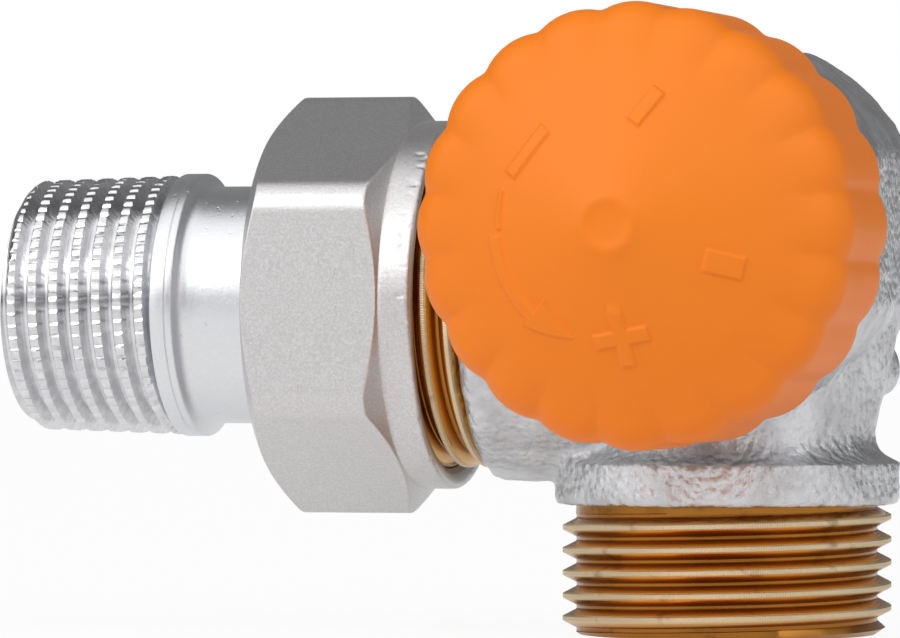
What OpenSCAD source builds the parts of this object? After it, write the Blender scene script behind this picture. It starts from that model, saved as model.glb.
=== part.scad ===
// Angled radiator valve with a screwed radiator tail, a setting insert and a hand cap.
// Millimetres. The origin is the centre of the lower pipe port's end face, and +Z is up.
// The pipe port runs down along Z, the radiator union along -X and the insert along -Y.

/* [Pipe port] */
// Height of the radiator union's axis above the port's end face
port_h = 26.3; // [25:0.1:28]
// Crest radius of the port's pipe thread, three quarter inch
pipe_crest_r = 13.15; // [13:0.01:13.22]
// Radius of the bore that the pipe end enters
pipe_bore_r = 9.15; // [8.5:0.05:9.6]
// Depth at which the pipe end stops
pipe_bore_depth = 9.5; // [8:0.1:10]
// Radius of the cast collar over the thread
collar_r = 13.75; // [13.6:0.05:14.5]
// Height of the cast collar
collar_h = 3.4; // [2.5:0.1:4]

/* [Threads] */
// Pitch of both pipe threads, fourteen turns to the inch
pitch = 1.814; // [1.814]
// Depth of both pipe threads from crest to root
thread_depth = 1.12; // [0.9:0.01:1.16]
// Width of a crest's flat
crest_flat = 0.34; // [0.2:0.01:0.5]
// Half of the angle between a thread's flanks
flank_deg = 27.5; // [25:0.5:30]

/* [Radiator union] */
// Distance from the port's axis to the casting's face at the union
union_face_x = 18.9; // [18.6:0.1:19.2]
// Distance from the port's axis to the end of the union's threaded stub
stub_end_x = 30.5; // [29:0.1:31]
// Radius of the cast barrel behind the union thread
barrel_r = 14.2; // [13.8:0.1:14.8]

/* [Union nut] */
// Size of the nut across its flats
nut_flats = 30; // [30]
// Distance from the port's axis to the nut's outer face
nut_outer_x = 36.2; // [35.8:0.1:36.6]
// Distance from the port's axis to the nut's inner face
nut_inner_x = 22.2; // [22:0.1:23]
// Width of the turned collar on the nut's inner side
nut_collar_w = 2.7; // [2:0.1:3.2]
// Radius of the turned collar
nut_collar_r = 14.87; // [14.6:0.01:14.95]
// Radius of the nut's six corners
nut_corner_r = 3; // [0.5:0.1:3.5]
// Turn of the nut about its axis, as tightened
nut_turn_deg = 1.5; // [0:0.5:30]

/* [Radiator tail] */
// Distance from the port's axis to the tail's end
tail_end_x = 58.1; // [58:0.1:59]
// Crest radius of the taper thread at its gauge plane, half inch
tail_gauge_r = 10.43; // [10.3:0.01:10.48]
// Distance from the tail's end to the gauge plane
tail_gauge_x = 8.2; // [5:0.1:9]
// Radius of the plain neck between the thread and the nut
neck_r = 9.65; // [9.3:0.05:9.8]
// Radius of the tail's bore
tail_bore_r = 7.9; // [7.4:0.1:8]
// Size across the flats of the socket inside the tail
socket_flats = 13; // [12:0.5:13]

/* [Insert] */
// Height of the insert's axis above the union's axis
insert_rise = 5.9; // [5.5:0.1:6.5]
// Radius of the cast bowl
bowl_r = 14.25; // [14:0.05:15]
// Distance from the port's axis to the bowl's machined front face
bowl_front = 15.5; // [15:0.1:16]
// Distance from the port's axis to the back of the bowl
bowl_back = 11.5; // [11:0.1:13]
// Crest radius of the insert's head thread, M30 by 1.5
head_thread_r = 14.95; // [14.9:0.01:15]
// Size across the flats of the insert's hexagon
insert_flats = 27; // [27]
// Stroke of the spindle from closed to open
stroke = 3.75; // [3:0.25:3.75]
// Distance from the port's axis to the valve's seat lip
seat_y = 3.0; // [2.8:0.1:3.2]

/* [Hand cap] */
// Number of finger lobes round the cap
lobe_count = 20; // [16:1:24]
// Radius to the crests of the lobes
cap_r = 17.02; // [16.9:0.02:17.4]
// Radius of each lobe
lobe_r = 5; // [4:0.1:6]
// Distance from the port's axis to the cap's rear rim
cap_rear = 18.9; // [18.8:0.1:19.2]
// Distance from the port's axis to the tip of the cap's conical face
cap_apex = 41.1; // [40.5:0.1:42]
// Slope of the conical face
cap_slope_deg = 25; // [20:1:27]
// Radius of the shoulder between the face and the lobes
cap_shoulder_r = 3.5; // [2.5:0.1:4]

/* [Hidden] */
$fn = 96;

// Colours, as they look on the real part
nickel = [0.72, 0.73, 0.75];
brass = [0.79, 0.63, 0.33];
steel = [0.62, 0.64, 0.67];
rubber = [0.09, 0.09, 0.10];
plastic = [0.93, 0.92, 0.88];
cap_orange = [1.00, 0.53, 0.13];

// Gap between a fixed seal, ring or screw and what it sits in
seat_gap = 0.03;
// Radial gap of a piece that turns or slides in another
run_gap = 0.06;
// Small amount by which a cut runs past a face
past = 1;

// Heights and radii that follow from the driving sizes
insert_z = port_h + insert_rise;
root_r = pipe_crest_r - thread_depth;
collar_z = 10.4;
neck_low_r = 11.7;
flank_w = thread_depth * tan(flank_deg);
nut_bore_r = pipe_crest_r + 0.08;
nut_wall = 2.0;
tail_hole_r = 10.95;
cone_seat_r = 11.3;
cone_seat_deg = 15;

// Distances along the insert's axis, measured from the port's axis towards the cap
disc_seal_t = 2.0;
disc_r = 6.3;
carrier_y = seat_y + 0.02 + disc_seal_t;
spindle_step_y = 7.6;
spindle_r = 2.0;
pin_r = 1.5;
pin_step_y = 19.8;
pin_tip_y = 31.6;
sleeve_r = 7.9;
core_r = 7.45;
core_low_y = 11.6;
core_step_y = 13.3;
spring_floor_y = 13.0;
spring_top_y = 17.55;
plate_y = 17.6;
plate_t = 0.8;
gland_y = 23.7;
core_flange_y = 26.5;
neck_y = 18.6;
neck_top_y = 28.6;
thread_low_y = 9.2;
body_bore_r = 11.0;

// Puts local +Z along the radiator union, outwards
module along_union() {
    translate([0, 0, port_h])
        rotate([0, -90, 0])
            children();
}

// Puts local +Z along the insert, outwards, with local +Y up
module along_insert() {
    translate([0, 0, insert_z])
        rotate([90, 0, 0])
            children();
}

// A round bar, or a bore's cutter, from one distance to another along local Z
module bar(r, from, to) {
    translate([0, 0, from])
        cylinder(r = r, h = to - from);
}

// A cone between two distances along local Z
module cone(r_from, r_to, from, to) {
    translate([0, 0, from])
        cylinder(r1 = r_from, r2 = r_to, h = to - from);
}

// A flat ring
module ring(r_in, r_out, from, to) {
    difference() {
        bar(r_out, from, to);
        bar(r_in, from - past, to + past);
    }
}

// A hexagonal bar with a flat facing local -Y
module hex_bar(flats, from, to) {
    translate([0, 0, from])
        cylinder(r = flats / sqrt(3), h = to - from, $fn = 6);
}

// A hexagonal bar with rounded corners and a flat facing local -Y
module soft_hex_bar(flats, corner, from, to) {
    centre_r = (flats / 2 - corner) / cos(30);
    outline = [
        for (i = [0:5], side = [-30:12:30])
        let (a = 60 * i)
        centre_r * [cos(a), sin(a)] + corner * [cos(a + side), sin(a + side)]
    ];
    translate([0, 0, from])
        linear_extrude(to - from)
            polygon(outline);
}

// A rubber ring of round section
module round_ring(r_mid, r_section, at) {
    translate([0, 0, at])
        rotate_extrude()
            translate([r_mid, 0])
                circle(r = r_section, $fn = 32);
}

// Half section of a threaded rod: a plain shank, then rings of thread profile.
// The crests grow by half of taper for each millimetre along the rod.
function thread_ring(at, crest, root) = [
    [root, at - crest_flat / 2 - flank_w],
    [crest, at - crest_flat / 2],
    [crest, at + crest_flat / 2],
    [root, at + crest_flat / 2 + flank_w]
];

module threaded_rod(crest_r, from, to, first, count, taper = 0) {
    low_root = crest_r - thread_depth + taper * (from - first) / 2;
    high_root = crest_r - thread_depth + taper * (to - first) / 2;
    rings = [
        for (i = [0:count - 1], p = thread_ring(
            first + i * pitch,
            crest_r + taper * i * pitch / 2,
            crest_r - thread_depth + taper * i * pitch / 2))
        p
    ];
    rotate_extrude()
        polygon(concat([[0, from], [low_root, from]], rings, [[high_root, to], [0, to]]));
}

// Cast body, outside

// Half section of the lower barrel, with a hollow flare down onto the collar
module lower_barrel() {
    flare = 2.2;
    top_r = 13.8;
    collar_top = collar_z + collar_h;
    flare_points = [
        for (a = [0:15:90])
        [neck_low_r + flare - flare * cos(a), collar_top + flare - flare * sin(a)]
    ];
    rotate_extrude()
        polygon(concat(
            [[0, collar_z], [collar_r - 0.5, collar_z], [collar_r, collar_z + 0.5],
             [collar_r, collar_top - 0.6], [collar_r - 0.4, collar_top]],
            [for (i = [len(flare_points) - 1:-1:0]) flare_points[i]],
            [[13.5, port_h - 2.9]],
            [for (a = [0:15:90]) [top_r * cos(a), port_h + top_r * sin(a)]]
        ));
}

// The bowl round the insert, rounded over its back, with square shoulders
module bowl() {
    round_r = 6;
    shoulder_r = 15.5;
    back_points = [
        for (a = [0:15:90])
        [bowl_r - round_r + round_r * cos(a), -bowl_back + round_r - round_r * sin(a)]
    ];
    along_insert() {
        rotate_extrude()
            polygon(concat([[0, bowl_front], [bowl_r, bowl_front]], back_points, [[0, -bowl_back]]));
        intersection() {
            bar(shoulder_r, -4.5, bowl_front - 1.2);
            translate([-bowl_r, -bowl_r, -past - 4.5])
                cube([2 * bowl_r, 2 * bowl_r, bowl_front + 8]);
        }
    }
}

// The barrel towards the union, with a rounded edge at its face
module union_barrel() {
    edge = 0.9;
    edge_points = [
        for (a = [0:22.5:90])
        [barrel_r - edge + edge * cos(a), union_face_x - edge + edge * sin(a)]
    ];
    along_union()
        rotate_extrude()
            polygon(concat([[0, 0], [barrel_r - 0.5, 0]], edge_points, [[0, union_face_x]]));
}

// Web that fills the corner between the union barrel and the lower barrel
module corner_web() {
    hull() {
        translate([-13.2, -8, port_h - 10.5])
            cube([4, 16, 6]);
        translate([-9, -8.5, collar_z + collar_h - 0.2])
            cube([4, 17, 8]);
    }
}

// Smooth boss on the back of the casting
module back_boss() {
    boss_r = 2.0;
    translate([0, 5, port_h - 5.2])
        rotate([0, 90, 0])
            intersection() {
                bar(boss_r, 6, 13);
                translate([0, 0, 13 - 3.2])
                    sphere(r = 3.2);
            }
    translate([0, 5, port_h - 5.2])
        rotate([0, 90, 0])
            bar(boss_r, 6, 11.6);
}

// Cast body, inside

// Bore of the pipe port, its stop, and the passage up to the chamber behind the seat
module inlet_way() {
    bar(pipe_bore_r, -past, pipe_bore_depth);
    cone(pipe_bore_r + 0.35 + past, pipe_bore_r - past, -past, 0.35 + past);
    bar(7.2, pipe_bore_depth - past, 12);
    translate([0, 4.7, 0])
        bar(4.6, 11.5, port_h);
    along_insert()
        bar(9.6, -8.4, -0.4);
}

// Cone seat at the union, and the passage into the chamber in front of the seat
module outlet_way() {
    cone_l = 5.4;
    along_union() {
        cone(cone_seat_r - cone_l * tan(cone_seat_deg), cone_seat_r + past * tan(cone_seat_deg),
             stub_end_x - cone_l, stub_end_x + past);
        bar(8.2, 17.5, stub_end_x);
        translate([1, -6.2, 0])
            bar(4.1, 3, 18.5);
    }
    along_insert() {
        bar(body_bore_r, thread_low_y - 0.7, bowl_front + past);
        cone(body_bore_r - past, body_bore_r + past + 0.4, bowl_front - 0.4 - past, bowl_front + past);
        bar(10.1, seat_y - 0.9, thread_low_y);
        bar(5.2, -2, seat_y + past);
    }
}

// Raised lip that the disc closes on
module seat_lip() {
    along_insert()
        rotate_extrude()
            polygon([[5.2, 0], [7.0, 0], [7.0, seat_y - 0.9], [6.2, seat_y], [5.5, seat_y], [5.2, seat_y - 0.3]]);
}

module valve_body() {
    color(nickel) {
        difference() {
            union() {
                lower_barrel();
                bowl();
                union_barrel();
                corner_web();
                back_boss();
                threaded_rod(pipe_crest_r, 0.8, collar_z + 0.1, 1.64, 5);
                cone(11.7, root_r, 0, 0.8);
                along_union()
                    threaded_rod(pipe_crest_r, union_face_x - 0.1, stub_end_x, union_face_x + 1.0, 6);
            }
            inlet_way();
            outlet_way();
        }
        seat_lip();
    }
}

// Union nut and radiator tail

// Hexagon with its corners turned off at both ends, and the turned collar
module union_nut() {
    corner_r = 16.9;
    chamfer = 1.5;
    inner_hex_x = nut_inner_x + nut_collar_w;
    steep = tan(30);
    color(nickel)
        along_union()
            difference() {
                union() {
                    rotate([0, 0, nut_turn_deg])
                        intersection() {
                            soft_hex_bar(nut_flats, nut_corner_r, inner_hex_x - 0.05, nut_outer_x);
                            rotate_extrude()
                                polygon([
                                    [0, inner_hex_x - 0.05],
                                    [nut_collar_r, inner_hex_x - 0.05],
                                    [corner_r, inner_hex_x + (corner_r - nut_collar_r) * steep],
                                    [corner_r, nut_outer_x - (corner_r - nut_collar_r) * steep],
                                    [nut_collar_r, nut_outer_x],
                                    [0, nut_outer_x]
                                ]);
                        }
                    bar(nut_collar_r, nut_inner_x + 0.4, inner_hex_x);
                    cone(nut_collar_r - 0.5, nut_collar_r, nut_inner_x, nut_inner_x + 0.4);
                }
                bar(nut_bore_r, nut_inner_x - past, nut_outer_x - nut_wall);
                cone(nut_bore_r + chamfer, nut_bore_r - past, nut_inner_x - 0.6, nut_inner_x + past + 0.6);
                bar(tail_hole_r, nut_outer_x - nut_wall - past, nut_outer_x + past);
            }
}

// Threaded tail with a bead, a neck, and a flange and cone inside the nut
module tailpiece() {
    gauge_at = tail_end_x - tail_gauge_x;
    thread_from = 45.1;
    crest_from = 46.07;
    crest_r = tail_gauge_r + (gauge_at - crest_from) / 32;
    flange_x = nut_outer_x - nut_wall - 0.04;
    nose_x = 26.4;
    slope = tan(cone_seat_deg);
    nose_base_r = cone_seat_r - 0.25;
    neck_round = 0.8;
    round_points = [
        for (a = [0:22.5:90])
        [neck_r + neck_round - neck_round * sin(a), 43.2 - neck_round * cos(a)]
    ];
    color(nickel)
        along_union()
            difference() {
                union() {
                    threaded_rod(crest_r, thread_from - 0.3, tail_end_x - 0.3, crest_from, 7, -1 / 16);
                    cone(9.7, 9.35, tail_end_x - 1.1, tail_end_x);
                    rotate_extrude()
                        polygon(concat(
                            [[0, nose_x], [9.2, nose_x], [9.6, nose_x + 0.4]],
                            [[nose_base_r, stub_end_x - 0.4], [nose_base_r + 0.1, stub_end_x + 0.3],
                             [12.4, stub_end_x + 0.5], [12.4, flange_x - 0.3], [12.1, flange_x],
                             [neck_r, flange_x]],
                            round_points,
                            [[10.45, 43.2], [10.7, 43.5], [10.7, 44.9], [10.5, thread_from], [0, thread_from]]
                        ));
                }
                bar(tail_bore_r, 47, tail_end_x + past);
                cone(tail_bore_r - past, tail_bore_r + past + 0.3, tail_end_x - 0.3 - past, tail_end_x + past);
                hex_bar(socket_flats, 36, 48);
                bar(7.0, nose_x - past, 37);
                tail_groove();
            }
}

// Groove in the tail's cone for its seal
module tail_groove() {
    rotate_extrude()
        translate([10.5, 28.6])
            circle(r = 0.95, $fn = 32);
}

module tailpiece_seal() {
    color(rubber)
        along_union()
            round_ring(10.12, 0.55, 28.6);
}

// Insert, fixed pieces

// Brass housing: screwed into the bowl, with a hexagon and the head's thread
module insert_housing() {
    color(brass)
        along_insert()
            difference() {
                union() {
                    bar(body_bore_r - seat_gap - 0.02, thread_low_y, bowl_front + 0.1);
                    intersection() {
                        hex_bar(insert_flats, bowl_front + 0.02, neck_y);
                        rotate_extrude()
                            polygon([[0, bowl_front], [13.3, bowl_front], [15.6, bowl_front + 1.3],
                                     [15.6, neck_y - 1.3], [13.3, neck_y], [0, neck_y]]);
                    }
                    bar(13.9, neck_y - 0.1, neck_y + 1.1);
                    cone(13.9, head_thread_r, neck_y + 1.1, neck_y + 1.9);
                    bar(head_thread_r, neck_y + 1.9, neck_top_y - 0.9);
                    cone(head_thread_r, 14.0, neck_top_y - 0.9, neck_top_y);
                }
                ring(9.4, body_bore_r + past, 10.0, 12.0);
                bar(sleeve_r + 0.15, thread_low_y - past, core_step_y - 0.1);
                bar(core_r + run_gap, core_step_y - past, neck_top_y + past);
                bar(9.6, core_flange_y, neck_top_y + past);
                bar(10.1, core_flange_y + 0.95, core_flange_y + 1.65);
            }
}

module housing_seal() {
    color(rubber)
        along_insert()
            round_ring(10.2, 0.76, 11.0);
}

// Split ring that keeps the setting core in the housing
module core_clip() {
    color(steel)
        along_insert()
            difference() {
                ring(8.6, 10.05, core_flange_y + 1.0, core_flange_y + 1.6);
                translate([-1.5, 7, core_flange_y])
                    cube([3, 4, 3]);
            }
}

// Insert, pieces that turn to set the flow

// Brass core that holds the spring and the gland
module setting_core() {
    color(brass)
        along_insert()
            difference() {
                union() {
                    bar(5.6, core_low_y, core_step_y + 0.1);
                    bar(core_r, core_step_y + 0.1, core_flange_y + 0.1);
                    bar(9.4, core_flange_y + 0.03, core_flange_y + 0.9);
                    bar(8.2, core_flange_y + 0.8, neck_top_y + 0.6);
                }
                ring(6.1, core_r + past, 15.0, 16.6);
                bar(spindle_r + run_gap, core_low_y - past, spring_floor_y + past);
                bar(5.0, spring_floor_y, gland_y);
                bar(5.6, gland_y - 0.1, neck_top_y + past);
                bar(6.5, neck_top_y - 0.15, neck_top_y + past);
            }
}

module core_seal() {
    color(rubber)
        along_insert()
            round_ring(6.78, 0.64, 15.8);
}

// Sleeve round the disc with one wide window, which sets the flow
module setting_sleeve() {
    color(plastic)
        along_insert()
            difference() {
                union() {
                    ring(7.0, sleeve_r, seat_y + 0.4, core_step_y - 0.2);
                    ring(5.6 + seat_gap, sleeve_r, 12.0, core_step_y - 0.2);
                }
                for (side = [0, 180])
                    rotate([0, 0, side])
                        translate([0, 0, 6.2])
                            rotate([90, 0, 0])
                                bar(2.3, 5, 10);
            }
}

// Notched dial at the front of the core
module setting_dial() {
    notches = 8;
    color(plastic)
        along_insert()
            difference() {
                union() {
                    ring(8.2 + seat_gap, 11.6, neck_top_y + 0.15, neck_top_y + 1.5);
                    ring(8.2 + seat_gap, 10.2, neck_top_y + 1.4, neck_top_y + 2.4);
                    ring(7.0, 9.0, neck_top_y + 0.65, neck_top_y + 2.4);
                }
                for (i = [0:notches - 1])
                    rotate([0, 0, i * 360 / notches])
                        translate([11.6, 0, 0])
                            bar(1.1, neck_top_y - past, neck_top_y + 3);
            }
}

// Gland, which can be changed with the system full

module gland_nut() {
    color(brass)
        along_insert()
            difference() {
                union() {
                    bar(5.6 - seat_gap, gland_y + 0.05, neck_top_y);
                    hex_bar(11, neck_top_y - 0.1, neck_top_y + 1.9);
                }
                ring(4.4, 5.6 + past, 25.2, 26.6);
                bar(pin_r + run_gap, gland_y - past, neck_top_y + 3);
                bar(3.05, 24.5, 26.0);
            }
}

module gland_nut_seal() {
    color(rubber)
        along_insert()
            round_ring(4.99, 0.56, 25.9);
}

module gland_seal() {
    color(rubber)
        along_insert()
            round_ring(2.3, 0.71, 25.25);
}

// Pieces that slide with the spindle

// Stainless spindle with a thin pin through the gland
module spindle() {
    tip_round = 0.5;
    color(steel)
        along_insert()
            difference() {
                union() {
                    bar(pin_r, 0.8, spindle_step_y + 0.1);
                    bar(spindle_r, spindle_step_y, pin_step_y);
                    bar(pin_r, pin_step_y - 0.1, pin_tip_y - tip_round);
                    cone(pin_r, pin_r - tip_round, pin_tip_y - tip_round, pin_tip_y);
                }
                ring(1.6, spindle_r + past, plate_y + plate_t, plate_y + plate_t + 0.65);
            }
}

// Open retaining ring in the spindle's groove
module spindle_clip() {
    clip_y = plate_y + plate_t + 0.02;
    color(steel)
        along_insert()
            difference() {
                ring(1.6 + seat_gap, 3.4, clip_y, clip_y + 0.6);
                translate([-1.2, 0, clip_y - past])
                    cube([2.4, 4, 3]);
            }
}

module spring_plate() {
    color(steel)
        along_insert()
            ring(spindle_r + seat_gap, 4.6, plate_y, plate_y + plate_t);
}

// Coil spring between the core's floor and the plate
module return_spring() {
    turns = 3.5;
    sides = 8;
    steps_per_turn = 20;
    wire_r = 0.42;
    coil_r = 3.6;
    low = spring_floor_y + wire_r + 0.03;
    rise = spring_top_y - spring_floor_y - 2 * wire_r - 0.06;
    rings = turns * steps_per_turn;
    points = [
        for (i = [0:rings], j = [0:sides - 1])
        let (a = 360 * i / steps_per_turn, b = 360 * j / sides,
             r = coil_r + wire_r * cos(b))
        [r * cos(a), r * sin(a), low + rise * i / rings + wire_r * sin(b)]
    ];
    walls = [
        for (i = [0:rings - 1], j = [0:sides - 1])
        let (k = (j + 1) % sides)
        [i * sides + j, (i + 1) * sides + j, (i + 1) * sides + k, i * sides + k]
    ];
    first_end = [for (j = [0:sides - 1]) j];
    last_end = [for (j = [sides - 1:-1:0]) rings * sides + j];
    color(steel)
        along_insert()
            polyhedron(points = points, faces = concat(walls, [first_end, last_end]), convexity = 6);
}

// Brass cup that carries the rubber disc
module disc_carrier() {
    color(brass)
        along_insert()
            difference() {
                union() {
                    bar(6.8, seat_y + 1.2, carrier_y + 1.6);
                    bar(3.2, carrier_y + 1.5, spindle_step_y - 0.02);
                }
                bar(disc_r + seat_gap, seat_y, carrier_y);
                bar(pin_r + seat_gap, seat_y, spindle_step_y + past);
            }
}

module disc_seal() {
    color(rubber)
        along_insert()
            ring(pin_r + seat_gap, disc_r, seat_y + 0.02, carrier_y - 0.02);
}

module disc_nut() {
    color(brass)
        along_insert()
            difference() {
                hex_bar(5.5, 1.4, seat_y);
                bar(pin_r + seat_gap, 0, seat_y + past);
            }
}

// Hand cap

// Outline of the cap's lobes
module lobed_outline(grow = 0) {
    circle(r = cap_r - lobe_r + 3.5);
    for (i = [0:lobe_count - 1])
        rotate(i * 360 / lobe_count)
            translate([cap_r - lobe_r, 0])
                circle(r = lobe_r + grow, $fn = 48);
}

// Domed cap: it screws on the head thread, and its inner post presses the spindle's pin
module hand_cap() {
    thread_gap = 0.07;
    bore_r = head_thread_r + thread_gap;
    side_r = cap_r + 0.1;
    mid_r = side_r - cap_shoulder_r;
    mid_y = cap_apex - cap_shoulder_r / cos(cap_slope_deg) - mid_r * tan(cap_slope_deg);
    face_points = [
        for (i = [0:6])
        let (a = i * (90 - cap_slope_deg) / 6)
        [mid_r + cap_shoulder_r * cos(a), mid_y + cap_shoulder_r * sin(a)]
    ];
    shoulder = face_points[6];
    rim = [2.9, cap_apex - 2.9 * tan(cap_slope_deg)];
    swell = 0.35;
    swell_points = [
        for (i = [1:5])
        let (t = i / 6)
        shoulder * (1 - t) + rim * t + [0, 4 * swell * t * (1 - t)]
    ];
    dimple_points = [rim, [1.9, cap_apex - 0.8], [1.1, cap_apex - 1.0], [0, cap_apex - 1.1]];
    color(cap_orange)
        along_insert()
            difference() {
                intersection() {
                    translate([0, 0, cap_rear])
                        linear_extrude(cap_apex - cap_rear)
                            lobed_outline();
                    rotate_extrude()
                        polygon(concat(
                            [[0, cap_rear], [cap_r - 0.3, cap_rear], [side_r, cap_rear + 0.8]],
                            face_points, swell_points, dimple_points
                        ));
                }
                bar(bore_r, cap_rear - past, 30.2);
                cone(bore_r, 12.6, 30.2, 32.2);
                cone(12.6, 5, 32.2, 36.2);
            }
    color(cap_orange)
        along_insert()
            bar(4.2, pin_tip_y + 0.02, 38);
}

valve_body();
union_nut();
tailpiece();
tailpiece_seal();
insert_housing();
housing_seal();
core_clip();
setting_core();
core_seal();
setting_sleeve();
setting_dial();
gland_nut();
gland_nut_seal();
gland_seal();
spindle();
spindle_clip();
spring_plate();
return_spring();
disc_carrier();
disc_seal();
disc_nut();
hand_cap();
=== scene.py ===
# %% [markdown]
# # An angled radiator valve, dressed for a studio picture
#
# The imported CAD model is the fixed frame. This script puts finer pieces and real materials
# on it: a rough cast body, true helical threads, a turned union nut and a moulded cap.
# All lengths below are typed in millimetres and go through `mm`, because Blender works in metres.

# %% Load the frame
import math

import bmesh
import bpy
from mathutils import Matrix, Vector, noise


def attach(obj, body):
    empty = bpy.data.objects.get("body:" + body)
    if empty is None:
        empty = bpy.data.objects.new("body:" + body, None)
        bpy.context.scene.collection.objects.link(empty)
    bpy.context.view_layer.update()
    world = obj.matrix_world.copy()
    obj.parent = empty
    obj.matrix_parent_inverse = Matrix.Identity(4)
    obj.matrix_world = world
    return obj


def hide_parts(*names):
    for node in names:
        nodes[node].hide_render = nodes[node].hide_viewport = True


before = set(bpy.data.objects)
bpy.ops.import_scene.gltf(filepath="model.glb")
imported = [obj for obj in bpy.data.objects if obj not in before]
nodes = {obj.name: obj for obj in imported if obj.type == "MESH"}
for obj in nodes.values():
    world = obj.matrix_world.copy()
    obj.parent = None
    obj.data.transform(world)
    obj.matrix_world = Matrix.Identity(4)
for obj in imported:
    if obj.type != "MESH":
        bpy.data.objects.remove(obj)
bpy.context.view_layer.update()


def mm(value):
    """A length in millimetres as Blender's metres."""
    return value * 0.001


# %% [markdown]
# ## The valve's three axes
#
# Pipe port, radiator union and insert each have an axis. A turned piece is modelled upright
# on Z, like on a lathe, and then laid on its own axis. The three matrices below do that.

# %% Axes of the casting
PORT_H = 26.3
INSERT_H = 32.2
port_axis = Matrix.Identity(4)
union_axis = Matrix.Translation((0, 0, mm(PORT_H))) @ Matrix.Rotation(math.radians(-90), 4, "Y")
insert_axis = Matrix.Translation((0, 0, mm(INSERT_H))) @ Matrix.Rotation(math.radians(90), 4, "X")
print("union points to", (union_axis.to_3x3() @ Vector((0, 0, 1))).to_tuple(2))
print("insert points to", (insert_axis.to_3x3() @ Vector((0, 0, 1))).to_tuple(2))

# %% [markdown]
# ## Camera
#
# The photograph was taken with a long lens, level with the union, from a little to the right.
# The lens and the place were fitted once to threads, ring and cap, and are kept as numbers.

# %% Camera at the photograph's place
camera_data = bpy.data.cameras.new("valve_camera")
camera_data.sensor_width = 36
camera_data.lens = 274.93
camera_data.clip_start = 0.01
camera_data.clip_end = 30
camera = bpy.data.objects.new("valve_camera", camera_data)
bpy.context.scene.collection.objects.link(camera)
bpy.context.scene.camera = camera
camera.location = (mm(122.63), mm(-536.15), mm(PORT_H - 0.91))
aim = Vector((mm(-22.94), 0, mm(PORT_H - 1.15)))
camera.rotation_euler = (aim - camera.location).to_track_quat("-Z", "Y").to_euler()
bpy.context.scene.view_settings.view_transform = "Standard"
print("camera is", round((aim - camera.location).length, 3), "m from its aim")

# %% [markdown]
# ## A small language for materials
#
# A material is a graph of nodes. Written out link by link it is hard to read, so `Wire` wraps
# one output socket and turns `a * 2 + b` into Math nodes. `Finish` makes the material itself
# and gives every other node through one method, `node`.


# %% Sockets that can be added and multiplied
class Wire:
    """One output socket, or a number's place in an expression."""

    def __init__(self, finish, socket):
        self.finish = finish
        self.socket = socket

    def _math(self, operation, *values):
        return self.finish.node("ShaderNodeMath", {"operation": operation}, dict(enumerate(values)))

    def __add__(self, other):
        return self._math("ADD", self, other)

    def __radd__(self, other):
        return self._math("ADD", other, self)

    def __sub__(self, other):
        return self._math("SUBTRACT", self, other)

    def __rsub__(self, other):
        return self._math("SUBTRACT", other, self)

    def __mul__(self, other):
        return self._math("MULTIPLY", self, other)

    def __rmul__(self, other):
        return self._math("MULTIPLY", other, self)

    def __truediv__(self, other):
        return self._math("DIVIDE", self, other)

    def __neg__(self):
        return self._math("MULTIPLY", self, -1)

    def __pow__(self, other):
        return self._math("POWER", self, other)

    def __gt__(self, other):
        return self._math("GREATER_THAN", self, other)

    def __lt__(self, other):
        return self._math("LESS_THAN", self, other)

    def clamp(self):
        return self._math("MINIMUM", self._math("MAXIMUM", self, 0), 1)

    def root(self):
        return self._math("SQRT", self)

    def maximum(self, other):
        return self._math("MAXIMUM", self, other)

    def minimum(self, other):
        return self._math("MINIMUM", self, other)

    def step(self, low, high):
        """0 below low, 1 above high, and a soft slope between them."""
        return self.finish.node(
            "ShaderNodeMapRange",
            {"interpolation_type": "SMOOTHSTEP"},
            {"Value": self, "From Min": low, "From Max": high},
        )


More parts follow.
